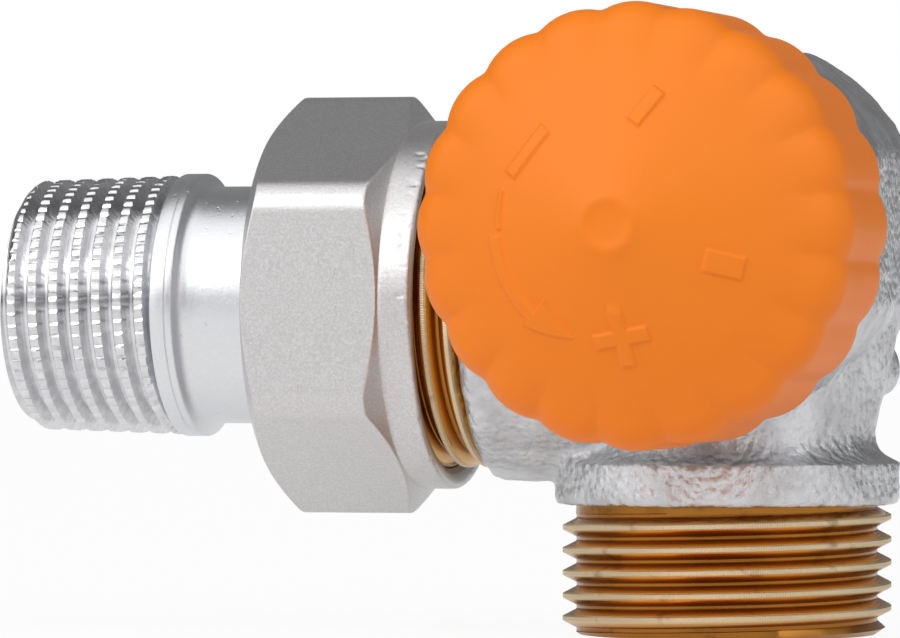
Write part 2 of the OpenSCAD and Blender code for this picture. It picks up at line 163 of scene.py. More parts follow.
class Finish:
    """A material, or the world, that is built from expressions."""

    def __init__(self, name, tree_owner=None):
        self.owner = tree_owner or bpy.data.materials.new(name)
        self.owner.use_nodes = True
        self.tree = self.owner.node_tree
        self.tree.nodes.clear()
        if tree_owner is None:
            self.surface = self.tree.nodes.new("ShaderNodeBsdfPrincipled")
            out = self.tree.nodes.new("ShaderNodeOutputMaterial")
            self.tree.links.new(self.surface.outputs[0], out.inputs["Surface"])

    def put(self, socket, value):
        if isinstance(value, Wire):
            self.tree.links.new(value.socket, socket)
        else:
            socket.default_value = value

    def node(self, kind, settings=None, values=None, out=0):
        """Any node: its settings first, then the values or links of its sockets."""
        made = self.tree.nodes.new(kind)
        for key, value in (settings or {}).items():
            if key == "stops":
                ramp = made.color_ramp
                while len(ramp.elements) < len(value):
                    ramp.elements.new(0.5)
                for element, (place, colour) in zip(ramp.elements, value):
                    element.position = place
                    element.color = (*colour, 1)
            else:
                setattr(made, key, value)
        for key, value in (values or {}).items():
            self.put(made.inputs[key], value)
        return Wire(self, made.outputs[out])

    def place(self):
        """The point on the object, in metres."""
        return self.node("ShaderNodeTexCoord", out="Object")

    def xyz(self, vector):
        split = self.tree.nodes.new("ShaderNodeSeparateXYZ")
        self.put(split.inputs[0], vector)
        return [Wire(self, socket) for socket in split.outputs]

    def vector(self, x, y, z):
        return self.node("ShaderNodeCombineXYZ", {}, {"X": x, "Y": y, "Z": z})

    def grain(self, scale, detail=3, roughness=0.55, at=None, distortion=0.0):
        """Fractal noise between 0 and 1; scale counts grains in a metre."""
        return self.node(
            "ShaderNodeTexNoise",
            {},
            {"Vector": at or self.place(), "Scale": scale, "Detail": detail,
             "Roughness": roughness, "Distortion": distortion},
        )

    def mix(self, amount, first, second):
        """A colour between two colours."""
        return self.node(
            "ShaderNodeMix", {"data_type": "RGBA"}, {0: amount, 6: first, 7: second}, out=2
        )

    def bump(self, height, distance, strength=1.0, under=None):
        values = {"Height": height, "Distance": distance, "Strength": strength}
        if under is not None:
            values["Normal"] = under
        return self.node("ShaderNodeBump", {}, values)

    def set(self, **values):
        """Sets sockets of the surface; Base_Color stands for Base Color."""
        for key, value in values.items():
            self.put(self.surface.inputs[key.replace("_", " ")], value)
        return self


def rgb(r, g, b):
    """A colour given in 0 to 255, as the linear colour a shader wants."""
    return tuple(((c / 255 + 0.055) / 1.055) ** 2.4 if c > 10 else c / 3295 for c in (r, g, b)) + (1,)


print("orange is", [round(c, 3) for c in rgb(245, 130, 30)])

# %% [markdown]
# ## Studio
#
# Polished metal shows its surroundings, so the light is mostly a painted sky that only
# reflections and the light itself see: a big soft box above and in front, two side boxes, and
# a darker room between them. The camera sees plain white there, like the cut-out background.


# %% Sky of soft boxes
def studio_sky():
    sky = bpy.data.worlds.new("studio_sky")
    bpy.context.scene.world = sky
    paint = Finish("studio_sky", sky)
    x, y, z = paint.xyz(paint.node("ShaderNodeTexCoord", out="Generated"))
    front = paint.node("ShaderNodeMath", {"operation": "ARCTAN2"}, {0: z, 1: -y}) * (180 / math.pi)
    side = paint.node("ShaderNodeMath", {"operation": "ARCTAN2"}, {0: x, 1: -y}) * (180 / math.pi)
    tall = z.step(-0.55, -0.35) * (1 - z.step(0.55, 0.75))
    top_box = front.step(12, 16) * (1 - front.step(92, 102)) * (1 - x.step(0.80, 0.95)) * x.step(-0.97, -0.85)
    left_box = side.step(-88, -78) * (1 - side.step(-24, -12)) * tall
    right_box = side.step(42, 52) * (1 - side.step(120, 130)) * tall
    back = y.step(0.45, 0.80)
    low = (1 - z.step(-0.75, -0.45))
    light = 0.10 + 1.05 * top_box + 0.55 * left_box + 0.45 * right_box + 0.12 * back + 0.20 * low
    seen = paint.node("ShaderNodeLightPath", out="Is Camera Ray")
    strength = light * (1 - seen) + seen
    shine = paint.node("ShaderNodeBackground", {}, {"Color": (1, 1, 1, 1), "Strength": strength})
    out = paint.tree.nodes.new("ShaderNodeOutputWorld")
    paint.tree.links.new(shine.socket, out.inputs["Surface"])
    return sky


studio_sky()
print("sky painted")


# %% Key lamp and floor
def soft_lamp(name, place, target, width, watts):
    data = bpy.data.lights.new(name, "AREA")
    data.shape = "SQUARE"
    data.size = width
    data.energy = watts
    lamp = bpy.data.objects.new(name, data)
    bpy.context.scene.collection.objects.link(lamp)
    lamp.location = place
    lamp.rotation_euler = (Vector(target) - Vector(place)).to_track_quat("-Z", "Y").to_euler()
    return lamp


soft_lamp("key_lamp", (-0.35, -0.75, 0.65), (0, 0, 0.03), 0.30, 1.0)


def studio_floor():
    shape = bmesh.new()
    bmesh.ops.create_grid(shape, x_segments=2, y_segments=2, size=4.0)
    bmesh.ops.translate(shape, verts=shape.verts, vec=(0, 0, mm(-0.05)))
    mesh = bpy.data.meshes.new("studio_floor")
    shape.to_mesh(mesh)
    shape.free()
    floor = bpy.data.objects.new("studio_floor", mesh)
    bpy.context.scene.collection.objects.link(floor)
    paint = Finish("white_floor").set(Base_Color=(0.9, 0.9, 0.9, 1), Roughness=0.9, Specular_IOR_Level=0.0)
    path = paint.tree.nodes.new("ShaderNodeLightPath")
    seen = Wire(paint, path.outputs["Is Camera Ray"]).maximum(Wire(paint, path.outputs["Is Glossy Ray"]) * 0.55)
    glow = paint.node("ShaderNodeEmission", {}, {"Color": (1, 1, 1, 1), "Strength": 1.0})
    both = paint.node("ShaderNodeMixShader", {}, {0: seen * 0.93, 2: glow})
    paint.tree.links.new(paint.surface.outputs[0], both.socket.node.inputs[1])
    out = next(n for n in paint.tree.nodes if n.type == "OUTPUT_MATERIAL")
    paint.tree.links.new(both.socket, out.inputs["Surface"])
    mesh.materials.append(paint.owner)
    return floor


studio_floor()
print("floor laid")

# %% [markdown]
# ## Making pieces
#
# A lathe needs one outline. `revolve` turns a list of (radius, height) points round Z with the
# spin operator, merges doubles and points the faces outwards. `as_object` lays the piece on its
# axis, and `finish_piece` gives it its finish, hands it to its CAD body and hides the CAD nodes it stands for.


# %% Lathe and hand-over
def outline_edges(shape, outline, angle=0.0):
    """A chain of edges through (radius, height) points, in millimetres, at an angle about Z."""
    turn = Matrix.Rotation(angle, 3, "Z")
    verts = [shape.verts.new(turn @ Vector((mm(r), 0, mm(z)))) for r, z in outline]
    edges = [shape.edges.new(pair) for pair in zip(verts, verts[1:])]
    return verts + edges


def revolve(outline, steps=192):
    """A closed turned solid: the outline starts and ends on the axis, or returns to its start."""
    shape = bmesh.new()
    geom = outline_edges(shape, outline)
    if outline[0] != outline[-1] and (outline[0][0] > 0 or outline[-1][0] > 0):
        raise ValueError("outline is open")
    bmesh.ops.spin(
        shape, geom=geom, cent=(0, 0, 0), axis=(0, 0, 1), angle=math.tau, steps=steps, use_merge=True
    )
    bmesh.ops.remove_doubles(shape, verts=shape.verts, dist=mm(0.002))
    bmesh.ops.recalc_face_normals(shape, faces=shape.faces)
    return shape


def as_object(shape, name, axis):
    bmesh.ops.transform(shape, matrix=axis, verts=shape.verts)
    mesh = bpy.data.meshes.new(name)
    shape.to_mesh(mesh)
    shape.free()
    piece = bpy.data.objects.new(name, mesh)
    bpy.context.scene.collection.objects.link(piece)
    return piece


def smooth(piece, degrees=35):
    """Smooth shading, with edges steeper than the angle kept sharp."""
    piece.data.shade_smooth()
    piece.data.set_sharp_from_angle(angle=math.radians(degrees))
    return piece


def finish_piece(piece, body, material, stands_for=None):
    piece.data.materials.clear()
    piece.data.materials.append(material.owner)
    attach(piece, body)
    if stands_for:
        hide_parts(*stands_for)
    print(piece.name, "faces:", len(piece.data.polygons))
    return piece


def round_corner(points, radius, steps=5):
    """Rounds every inner corner of an outline with a small arc."""
    soft = [points[0]]
    for before, here, after in zip(points, points[1:], points[2:]):
        a = Vector(before) - Vector(here)
        b = Vector(after) - Vector(here)
        reach = min(radius, a.length * 0.45, b.length * 0.45)
        start = Vector(here) + a.normalized() * reach
        end = Vector(here) + b.normalized() * reach
        for i in range(steps + 1):
            t = i / steps
            p = start * (1 - t) ** 2 + Vector(here) * 2 * t * (1 - t) + end * t ** 2
            soft.append((p.x, p.y))
    soft.append(points[-1])
    return soft


def set_ring(verts, radius, height):
    """Moves a loop of vertices to one radius and height, in millimetres."""
    for v in verts:
        flat = Vector((v.co.x, v.co.y)).normalized() * mm(radius)
        v.co = (flat.x, flat.y, mm(height))



# %% [markdown]
# Not everything is round. `wrap` bends a flat grid round Z and asks a function for the radius
# and height at each row and angle, so a hexagon with turned corners, or a lobed cap, is one
# closed skin too. `soft_min` joins two surfaces with a small rounded edge between them.


# %% Wrapping
def wrap(profile, rows, steps):
    """A skin round Z: `profile(row, angle)` gives a radius and a height, in millimetres."""
    shape = bmesh.new()
    bmesh.ops.create_grid(shape, x_segments=steps, y_segments=rows - 1, size=0.5)
    for v in shape.verts:
        angle = math.tau * (v.co.x + 0.5)
        radius, height = profile(round((v.co.y + 0.5) * (rows - 1)), angle)
        v.co = (mm(radius) * math.cos(angle), mm(radius) * math.sin(angle), mm(height))
    bmesh.ops.remove_doubles(shape, verts=shape.verts, dist=mm(0.002))
    bmesh.ops.recalc_face_normals(shape, faces=shape.faces)
    return shape


def soft_min(a, b, width):
    """The smaller of two numbers, blended where they are close."""
    t = max(0.0, min(1.0, 0.5 + 0.5 * (b - a) / width))
    return b + (a - b) * t - width * t * (1 - t) / 2


def hexagon(angle, flats, corner, turn=0.0):
    """Distance to a hexagon with rounded corners, in a direction; corners at 0, 60 and so on."""
    off = abs((math.degrees(angle) - turn + 30) % 60 - 30)
    centre = (flats / 2 - corner) / math.cos(math.radians(30))
    reach = math.degrees(math.atan2(corner * 0.5, centre + corner * math.cos(math.radians(30))))
    if off < reach:
        across = centre * math.sin(math.radians(off))
        return centre * math.cos(math.radians(off)) + math.sqrt(corner ** 2 - across ** 2)
    return flats / 2 / math.cos(math.radians(30 - off))


def spread(start, end, count):
    """Evenly spaced numbers, both ends included."""
    return [start + (end - start) * i / (count - 1) for i in range(count)]

# %% [markdown]
# ## True threads
#
# A real thread is one groove that winds round. The outline of a few turns is spun once round
# while it climbs by one pitch, so each turn's end meets the next turn's start and the sharp
# crests lie exactly along the edges. Two planes cut the ends square, a limit on the radius
# gives the lead-in chamfer and the run-out, and the cut edge is extruded inwards as the bore.

# %% Thread maker
PITCH = 1.814


def thread_outline(first, turns, crest, root, crest_w, root_w):
    """Outline points of a thread, first crest at height `first`, crests a pitch apart."""
    points = []
    for k in range(turns):
        z = first + (k - 1) * PITCH
        points += [
            (root, z - PITCH / 2), (root, z - PITCH / 2 + root_w / 2 - 0.05),
            (root + 0.05, z - PITCH / 2 + root_w / 2 + 0.03),
            (crest - 0.05, z - crest_w / 2 - 0.04), (crest, z - crest_w / 2 + 0.03), (crest, z),
            (crest, z + crest_w / 2 - 0.03), (crest - 0.05, z + crest_w / 2 + 0.04),
            (root + 0.05, z + PITCH / 2 - root_w / 2 - 0.03), (root, z + PITCH / 2 - root_w / 2 + 0.05),
        ]
    points.append((root, first + (turns - 1) * PITCH - PITCH / 2))
    return points


def threaded_tube(first, crest, root, low, high, limit, inner, crest_w=0.34, root_w=0.30, steps=192, notch=None):
    """A helical thread between two heights, closed by the inner outline `inner`."""
    turns = int((high - low) / PITCH) + 5
    start = first
    while start > low - PITCH:
        start -= PITCH
    shape = bmesh.new()
    geom = outline_edges(shape, thread_outline(start, turns, crest, root, crest_w, root_w), math.radians(-90))
    bmesh.ops.spin(
        shape, geom=geom, cent=(0, 0, 0), axis=(0, 0, 1), dvec=(0, 0, mm(PITCH / steps)),
        angle=math.tau, steps=steps,
    )
    bmesh.ops.remove_doubles(shape, verts=shape.verts, dist=mm(0.003))
    for height, way in ((low, -1), (high, 1)):
        bmesh.ops.bisect_plane(
            shape, geom=shape.verts[:] + shape.edges[:] + shape.faces[:], dist=mm(0.002),
            plane_co=(0, 0, mm(height)), plane_no=(0, 0, way), clear_outer=True,
        )
    for v in shape.verts:
        radius = math.hypot(v.co.x, v.co.y) * 1000
        height = v.co.z * 1000
        aim_r = min(radius, limit(height))
        if notch:
            aim_r = notch(aim_r, height, math.atan2(v.co.y, v.co.x))
        scale = aim_r / radius
        v.co.x *= scale
        v.co.y *= scale
    rims = [e for e in shape.edges if e.is_boundary]
    low_rim = [e for e in rims if e.verts[0].co.z < mm((low + high) / 2)]
    high_rim = [e for e in rims if e not in low_rim]
    edges = low_rim
    for radius, height in inner:
        made = bmesh.ops.extrude_edge_only(shape, edges=edges)["geom"]
        set_ring([g for g in made if isinstance(g, bmesh.types.BMVert)], radius, height)
        edges = [g for g in made if isinstance(g, bmesh.types.BMEdge)]
    bmesh.ops.bridge_loops(shape, edges=edges + high_rim)
    bmesh.ops.recalc_face_normals(shape, faces=shape.faces)
    return shape


# %% [markdown]
# ## Finishes
#
# Everything metal here is brass. The casting and the union parts are nickel plated, the
# machined threads are left bare. The casting is bumpy like orange peel, the turned parts have
# fine circular tool marks, and the flats of the nut are rolled, satin and scratched.


# %% Nickel finishes
def radial(paint, axis):
    """Distance from an axis through the point O, and the coordinate along it."""
    x, y, z = paint.xyz(paint.place())
    if axis == "X":
        up = z - mm(PORT_H)
        return (y * y + up * up).root(), x, (y, up)
    if axis == "Y":
        up = z - mm(INSERT_H)
        return (x * x + up * up).root(), y, (x, up)
    return (x * x + y * y).root(), z, (x, y)


def cast_nickel():
    """Sand-cast skin under nickel: pebbles, soft pits and a few bright worn spots."""
    paint = Finish("cast_nickel")
    pebbles = paint.node(
        "ShaderNodeTexVoronoi", {"feature": "SMOOTH_F1"}, {"Vector": paint.place(), "Scale": 1500, "Smoothness": 0.6}
    )
    fine = paint.grain(4200, 4, 0.65)
    broad = paint.grain(420, 3, 0.5)
    height = pebbles * -0.9 + fine * 0.5 + broad * 0.8
    shade = paint.grain(260, 3, 0.6)
    paint.set(
        Base_Color=paint.mix(shade.step(0.3, 0.7), rgb(196, 196, 198), rgb(226, 227, 230)),
        Metallic=1.0,
        Roughness=0.22 + 0.16 * fine,
        Normal=paint.bump(height, mm(0.22), 0.85),
    )
    return paint


def turned_nickel(axis="X"):
    """Bright plating with fine circular tool marks round an axis."""
    paint = Finish("turned_nickel_" + axis)
    radius, along, _ = radial(paint, axis)
    rings = paint.grain(1, 3, 0.6, at=paint.vector(along * 9000, radius * 9000, 0.0))
    dirt = paint.grain(900, 4, 0.6)
    paint.set(
        Base_Color=paint.mix(dirt.step(0.35, 0.7), rgb(222, 222, 224), rgb(238, 238, 240)),
        Metallic=1.0,
        Roughness=0.16 + 0.10 * dirt,
        Normal=paint.bump(rings, mm(0.02), 0.35),
    )
    return paint


def satin_nickel():
    """The nut's drawn flats: satin, speckled and scratched."""
    paint = Finish("satin_nickel")
    x, y, z = paint.xyz(paint.place())
    streaks = paint.grain(1, 3, 0.6, at=paint.vector(x * 500, y * 3500, z * 3500))
    specks = paint.grain(5200, 3, 0.7)
    scratch = paint.grain(1, 2, 0.5, at=paint.vector(x * 4200, y * 700, z * 700), distortion=1.2)
    cut = scratch.step(0.70, 0.74)
    paint.set(
        Base_Color=paint.mix(specks.step(0.35, 0.75), rgb(212, 210, 210), rgb(232, 231, 231)),
        Metallic=1.0,
        Roughness=0.34 + 0.14 * specks - 0.08 * cut,
        Normal=paint.bump(streaks * 0.6 + specks * 0.5 - cut * 1.2, mm(0.03), 0.6),
    )
    return paint


def sandy_nickel():
    """The tail's neck: plated over a faintly sandy skin."""
    paint = Finish("sandy_nickel")
    specks = paint.grain(3800, 3, 0.6)
    pits = paint.grain(1100, 2, 0.5).step(0.66, 0.74)
    paint.set(
        Base_Color=paint.mix(specks, rgb(226, 228, 232), rgb(240, 241, 243)),
        Metallic=1.0,
        Roughness=0.30 + 0.10 * specks,
        Normal=paint.bump(specks * 0.5 - pits * 1.0, mm(0.05), 0.6),
    )
    return paint


cast_skin = cast_nickel()
ring_nickel = turned_nickel("X")
flat_nickel = satin_nickel()
neck_nickel = sandy_nickel()
thread_nickel = turned_nickel("X")
print("nickel finishes mixed")


# %% Brass finish
def thread_brass(name, axis, root, crest):
    """Machined brass: golden, with painted shade darkening it towards the roots; pale and hatched on the crests."""
    paint = Finish(name)
    radius, along, (u, v) = radial(paint, axis)
    depth = radius.step(mm(root), mm(crest))
    marks = paint.grain(1, 3, 0.6, at=paint.vector(along * 6000, radius * 6000, 0.0))
    stain = paint.grain(330, 4, 0.6)
    around = paint.node("ShaderNodeMath", {"operation": "ARCTAN2"}, {0: u, 1: v})
    hatch = paint.node(
        "ShaderNodeMath", {"operation": "SINE"}, {0: around * 420 + along * 5200 + stain * 6.0}
    )
    crest_top = depth.step(0.90, 0.97)
    # painted shade: the colour runs from dark brown at the thread roots to gold at the crests, standing in for the
    # shade in the grooves
    gold_with_painted_root_shade = paint.mix(depth, rgb(168, 112, 48), rgb(226, 178, 104))
    pale = paint.mix(crest_top * 0.75, gold_with_painted_root_shade, rgb(232, 216, 186))
    worn = paint.mix(stain.step(0.58, 0.72) * 0.55, pale, rgb(120, 74, 34))
    paint.set(
        Base_Color=worn,
        Metallic=1.0,
        Roughness=0.16 + 0.14 * stain + 0.12 * crest_top,
        Normal=paint.bump(marks * 0.4 + hatch * crest_top * 0.9, mm(0.03), 0.6),
    )
    return paint


port_brass = thread_brass("port_brass", "Z", 12.0, 13.1)
union_brass = thread_brass("union_brass", "X", 12.0, 13.1)
print("brass finishes mixed")


# %% Cap, rubber and inner finishes
def moulded_orange():
    """Orange moulded plastic: satin, with a very fine even grain."""
    paint = Finish("moulded_orange")
    fine = paint.grain(2600, 2, 0.5)
    tone = paint.grain(60, 2, 0.5)
    paint.set(
        Base_Color=paint.mix(tone, rgb(249, 128, 14), rgb(250, 134, 20)),
        Roughness=0.46 + 0.06 * fine,
        Normal=paint.bump(fine, mm(0.01), 0.25),
    )
    paint.set(Specular_IOR_Level=0.35, Subsurface_Weight=0.0)
    return paint


def plain_finish(name, colour, metallic, roughness, grain_size, grain_depth):
    """A quiet finish for an inner piece: one colour with grain in gloss and surface."""
    paint = Finish(name)
    fine = paint.grain(grain_size, 3, 0.6)
    darker = tuple(c * 0.82 for c in colour[:3]) + (1,)
    paint.set(
        Base_Color=paint.mix(fine, darker, colour),
        Metallic=metallic,
        Roughness=roughness + 0.12 * fine,
        Normal=paint.bump(fine, mm(grain_depth), 0.4),
    )
    return paint


cap_plastic = moulded_orange()
bare_brass = plain_finish("bare_brass", rgb(226, 184, 110), 1.0, 0.18, 2600, 0.02)
bright_steel = plain_finish("bright_steel", rgb(206, 208, 212), 1.0, 0.20, 3000, 0.01)
seal_rubber = plain_finish("seal_rubber", rgb(32, 32, 34), 0.0, 0.55, 3500, 0.02)
white_plastic = plain_finish("white_plastic", rgb(236, 232, 222), 0.0, 0.42, 2400, 0.01)
print("cap and inner finishes mixed")

# %% [markdown]
# ## Casting
#
# A casting has no sharp inner corners: metal flows round every joint. Simple solids are joined
# and rebuilt on a fine voxel grid, and the creases are smoothed away. The passages are cut
# after that, so their edges stay crisp.


# %% Lumps of the casting
def add_revolved(target, outline, axis, steps=96):
    part = revolve(outline, steps)
    bmesh.ops.transform(part, matrix=axis, verts=part.verts)
    mesh = bpy.data.meshes.new("lump")
    part.to_mesh(mesh)
    part.free()
    target.from_mesh(mesh)
    bpy.data.meshes.remove(mesh)


def add_box(target, low, high, turn=None):
    made = bmesh.ops.create_cube(target, size=1.0)["verts"]
    size = [mm(h - l) for l, h in zip(low, high)]
    mid = Vector([mm((h + l) / 2) for l, h in zip(low, high)])
    bmesh.ops.scale(target, vec=size, verts=made)
    if turn:
        bmesh.ops.rotate(target, cent=(0, 0, 0), matrix=turn, verts=made)
    bmesh.ops.translate(target, vec=mid, verts=made)


def casting_lumps():
    shape = bmesh.new()
    flare = [(13.95 - 2.2 * math.cos(math.radians(a)), 16.0 - 2.2 * math.sin(math.radians(a))) for a in range(0, 91, 15)]
    top = [(13.8 * math.cos(math.radians(a)), PORT_H + 13.8 * math.sin(math.radians(a))) for a in range(0, 91, 10)]
    collar = [(0, 10.4), (13.6, 10.4), (13.75, 10.6), (13.75, 13.3), (13.55, 13.7)]
    add_revolved(shape, collar + flare[::-1] + [(13.5, PORT_H - 2.9)] + top[:-1] + [(0, PORT_H + 13.8)], port_axis)
    back = [(14.25 - 6 + 6 * math.cos(math.radians(a)), -11.5 + 6 - 6 * math.sin(math.radians(a))) for a in range(0, 91, 15)]
    add_revolved(shape, [(0, 15.5), (14.25, 15.5)] + back + [(0, -11.5)], insert_axis)
    add_revolved(shape, [(0, 0), (13.7, 0), (14.2, 12), (14.2, 18.0), (13.9, 18.7), (13.3, 18.9), (0, 18.9)], union_axis)
    return shape


def add_shoulders(target):
    """The squared band round the bowl, where the mould's halves were trimmed."""
    part = revolve([(0, -4.5), (14.9, -4.5), (15.5, -3.9), (15.5, 13.8), (15.1, 14.3), (0, 14.3)], 96)
    for v in part.verts:
        v.co.x = max(mm(-14.25), min(mm(14.25), v.co.x))
        v.co.y = max(mm(-14.25), min(mm(14.25), v.co.y))
    bmesh.ops.transform(part, matrix=insert_axis, verts=part.verts)
    mesh = bpy.data.meshes.new("lump")
    part.to_mesh(mesh)
    part.free()
    target.from_mesh(mesh)
    bpy.data.meshes.remove(mesh)


def add_web(target):
    """The filled corner between the union barrel and the lower barrel."""
    verts = []
    for x, y, z, w, d, h in ((-13.2, -8, PORT_H - 10.5, 4, 16, 6), (-9, -8.5, 13.6, 4, 17, 8)):
        verts += [
            target.verts.new((mm(x + w * i), mm(y + d * j), mm(z + h * k)))
            for i in (0, 1) for j in (0, 1) for k in (0, 1)
        ]
    bmesh.ops.convex_hull(target, input=verts)


def casting_piece():
    shape = casting_lumps()
    add_shoulders(shape)
    add_web(shape)
    boss = Matrix.Translation((0, mm(5), mm(PORT_H - 5.2))) @ Matrix.Rotation(math.radians(90), 4, "Y")
    dome = [(3.2 * math.cos(math.radians(a)), 9.8 + 3.2 * math.sin(math.radians(a))) for a in range(55, 90, 7)]
    add_revolved(shape, [(0, 5), (2.0, 5), (2.0, 12.3)] + dome + [(0, 13.0)], boss, 32)
    piece = as_object(shape, "casting", Matrix.Identity(4))
    grid = piece.modifiers.new("grid", "REMESH")
    grid.mode = "VOXEL"
    grid.voxel_size = mm(0.36)
    flow = piece.modifiers.new("flow", "SMOOTH")
    flow.factor = 0.5
    flow.iterations = 7
    return piece


def roughen(piece, size, height):
    """Moves a casting's skin in and out by soft noise; lengths in millimetres."""
    shape = bmesh.new()
    shape.from_mesh(piece.data)
    shape.normal_update()
    for v in shape.verts:
        v.co += v.normal * mm(height) * noise.fractal(v.co * 1000 / size, 1.0, 2.0, 3)
    shape.to_mesh(piece.data)
    shape.free()


def apply_modifiers(piece):
    """Bakes a piece's modifiers into its mesh."""
    depsgraph = bpy.context.evaluated_depsgraph_get()
    mesh = bpy.data.meshes.new_from_object(piece.evaluated_get(depsgraph))
    piece.modifiers.clear()
    old = piece.data
    piece.data = mesh
    bpy.data.meshes.remove(old)
    return piece


def cut(piece, outline, axis, name):
    """Cuts a turned hole out of a piece."""
    tool = as_object(revolve(outline, 96), name, axis)
    hole = piece.modifiers.new(name, "BOOLEAN")
    hole.operation = "DIFFERENCE"
    hole.solver = "EXACT"
    hole.object = tool
    apply_modifiers(piece)
    bpy.data.objects.remove(tool)


casting = apply_modifiers(casting_piece())
roughen(casting, 2.2, 0.10)
print("casting grid faces:", len(casting.data.polygons))

# %% Passages of the casting
cut(casting, [(0, 8), (7.2, 8), (7.2, 12.0), (0, 12.0)], port_axis, "port_passage")
cut(casting, [(0, 11.4), (4.6, 11.4), (4.6, 26), (0, 26)], Matrix.Translation((0, mm(4.7), 0)), "rear_passage")
cut(casting, [(0, 17.5), (8.2, 17.5), (8.2, 20), (0, 20)], union_axis, "union_passage")
cut(casting, [(0, 3), (11.0, 3), (11.0, 17), (0, 17)], insert_axis, "insert_bore")
smooth(casting, 40)
finish_piece(casting, "fixed", cast_skin, ["valve_body"])

# %% Threads of the casting
port_thread = as_object(
    threaded_tube(
        1.64, 13.13, 12.02, 0.0, 10.45,
        lambda z: min(11.8 + 1.5 * z, 13.13 if z < 9.6 else max(12.05, 13.13 - (z - 9.6) * 3.2)),
        [(9.5, 0.0), (9.15, 0.35), (9.15, 9.5), (7.25, 9.5), (7.25, 10.45)],
    ),
    "port_thread", port_axis,
)
smooth(port_thread, 28)
finish_piece(port_thread, "fixed", port_brass)

union_thread = as_object(
    threaded_tube(
        19.9, 13.13, 12.02, 18.8, 30.5,
        lambda z: min(13.13 if z < 29.2 else 13.13 - (z - 29.2) * 1.0, 12.3 + (z - 18.8) * 3.0),
        [(12.9, 18.8), (8.25, 18.8), (8.25, 25.1), (9.85, 25.1), (11.3, 30.5)][::1],
    ),
    "union_thread", union_axis,
)
smooth(union_thread, 28)
finish_piece(union_thread, "fixed", union_brass)

# %% [markdown]
# ## Union nut
#
# The nut is a hexagon bar with its corners turned off by a 30 degree cone at both ends, and a
# turned collar on the inner side. Its edges are worn: the collar's edge has small nicks.

# %% Union nut
NUT_TURN = 1.5
EDGE = [0, 0.03, 0.06, 0.09, 0.13, 0.17, 0.22, 0.28, 0.35, 0.43, 0.52, 0.62, 0.72, 0.82, 0.92, 1.02, 1.12, 1.24, 1.4]
nut_rows = [("r", 13.23, 34.2), ("r", 13.23, 22.9), ("r", 13.5, 22.45), ("r", 14.0, 22.22)]
nut_rows += [("r", 14.50 + 0.37 * math.sin(math.radians(a)), 22.57 - 0.37 * math.cos(math.radians(a))) for a in range(0, 91, 15)]
nut_rows += [("r", 14.87, z) for z in spread(22.8, 24.75, 8)] + [("r", 14.84, 24.86)]
nut_rows += [("hex", 0, 24.9 + d) for d in EDGE] + [("hex", 0, z) for z in spread(26.7, 34.4, 8)]
nut_rows += [("hex", 0, 36.2 - d) for d in EDGE[::-1]]
nut_rows += [("r", 14.7, 36.2), ("r", 12.5, 36.2), ("r", 11.1, 36.2), ("r", 10.95, 36.05), ("r", 10.95, 34.2), ("r", 13.23, 34.2)]


def nut_profile(row, angle):
    kind, radius, z = nut_rows[row]
    if kind == "hex":
        turned = 14.87 + (min(z - 24.9, 36.2 - z)) * math.sqrt(3)
        return soft_min(hexagon(angle, 30, 3, NUT_TURN), turned, 0.14), z
    if 4 <= row <= 12:
        nick = noise.noise(Vector((math.cos(angle) * 26, math.sin(angle) * 26, z * 1.5)))
        return radius - max(0.0, nick - 0.25) * 0.22, z + max(0.0, nick - 0.25) * 0.16
    return radius, z


union_nut = as_object(wrap(nut_profile, len(nut_rows), 720), "nut_body", union_axis)
smooth(union_nut, 50)
finish_piece(union_nut, "nut", flat_nickel, ["union_nut"])

# %% [markdown]
# ## Radiator tail
#
# The tail's crests are cut across by a fine toothed roller, which makes the sealing fibre
# hold. The teeth lie at the same angles on every crest. The thread tapers by 1 in 16.

# %% Tail thread
TEETH = 63


def tail_crest(height):
    return 10.55 - (height - 46.07) / 32


def serrated(radius, height, angle):
    """Tapers the thread and cuts a tooth mark across its crests."""
    place = (angle * TEETH / math.tau + 0.05 * height) % 1.0
    groove = max(0.0, 1 - abs(place - 0.5) / 0.24)
    return min(radius - (height - 46.07) / 32, tail_crest(height) - 0.17 * groove)


tail_steps = TEETH * 8
tail_thread = as_object(
    threaded_tube(
        46.07, 10.55, 9.43, 45.0, 58.1,
        lambda z: min(9.35 + (58.1 - z) * 0.9 + (z - 46.07) / 32, 10.6 if z > 45.6 else 10.3),
        [(10.3, 45.0), (8.0, 45.0), (7.9, 45.2), (7.9, 57.8), (8.2, 58.1)],
        crest_w=0.62, root_w=0.30, steps=tail_steps, notch=serrated,
    ),
    "tail_thread", union_axis,
)
smooth(tail_thread, 30)
finish_piece(tail_thread, "tail_set", thread_nickel)

# %% Tail neck, bead and inner end
tail_out = [
    (7.0, 37.0), (7.0, 26.4), (9.2, 26.4), (9.6, 26.8), (10.62, 29.9), (11.0, 30.2), (12.0, 31.0), (12.4, 31.4),
    (12.4, 33.85), (12.1, 34.15), (9.65, 34.16), (9.65, 36.5), (9.65, 39), (9.65, 41), (9.65, 42.2),
]
tail_out += [(10.6 - 0.95 * math.cos(math.radians(a)), 42.2 + 0.95 * math.sin(math.radians(a))) for a in range(15, 76, 15)]
tail_out += [(10.52, 43.2), (10.65, 43.28), (10.7, 43.4), (10.7, 43.76), (10.66, 43.80), (10.62, 43.84), (10.66, 43.88), (10.7, 43.92)]
tail_out += [(10.7, 44.3), (10.7, 44.95), (10.66, 45.04), (10.55, 45.1), (9.0, 45.1), (7.9, 45.1), (7.9, 47.0)]
TAIL_ROWS = len(tail_out) + 6


def tail_profile(row, angle):
    if row < len(tail_out):
        return tail_out[row]
    height = [47.0, 48.0, 48.0, 44.0, 37.0, 37.0][row - len(tail_out)]
    if row == len(tail_out):
        return 7.9, 47.6
    if row == len(tail_out) + 5:
        return 7.0, 37.0
    return min(7.9, hexagon(angle, 13, 0.3)) if row > len(tail_out) + 1 else 7.9, height


